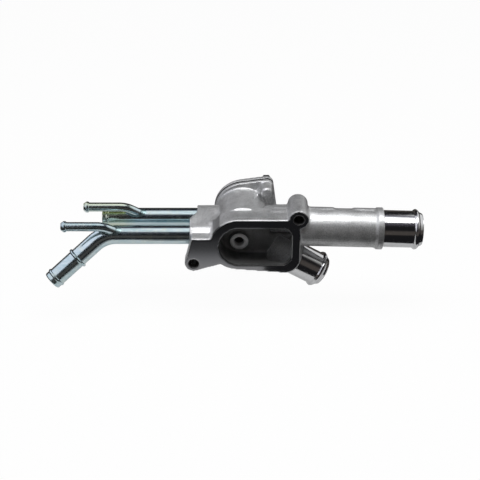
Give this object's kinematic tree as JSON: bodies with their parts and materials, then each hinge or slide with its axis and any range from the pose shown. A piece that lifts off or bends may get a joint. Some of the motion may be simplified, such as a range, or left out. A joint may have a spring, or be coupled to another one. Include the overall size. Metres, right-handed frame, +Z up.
{
  "type": "engine coolant outlet housing",
  "caption": "Cast aluminium engine coolant housing with a head flange, bolted rear cover, wax valve inside, radiator neck, slanted hose stub and two brazed steel pipes.",
  "frame": {"origin": "midway between the two head bolt holes, on the machined flange face", "axes": "+X along the radiator neck, +Y from the flange face away from the engine (the drum axis), +Z up"},
  "size_m": [0.3668, 0.1183, 0.1036],
  "materials": {
    "cast_aluminium": "sand-cast satin with machined faces",
    "plated_steel": "bluish zinc plating",
    "gasket_black": "matt black",
    "dark_bolt": "dark phosphate",
    "valve_brass": "satin pressed sheet",
    "spring_steel": "bright wire"
  },
  "bodies": {
    "housing": {"housing_body": "cast_aluminium", "rear_cover": "cast_aluminium", "cover_gasket": "gasket_black", "cover_bolts": "dark_bolt", "thermostat_plate": "valve_brass", "thermostat_frame": "valve_brass", "thermostat_seal": "gasket_black", "valve_spring": "spring_steel", "piston_pin": "spring_steel", "jiggle_pin": "valve_brass", "heater_pipe": "plated_steel", "heater_branch": "plated_steel", "return_pipe": "plated_steel", "return_branch": "plated_steel"},
    "valve": {"valve_disc": "valve_brass", "wax_capsule": "valve_brass"}
  },
  "joints": [
    {"name": "valve_lift", "type": "slide", "parent": "housing", "child": "valve", "axis": [0, -1, 0], "range_m": [0, 0.008], "stiffness_N_per_m": 1000, "springref_m": -0.01, "deforming": ["valve_spring"]}
  ]
}
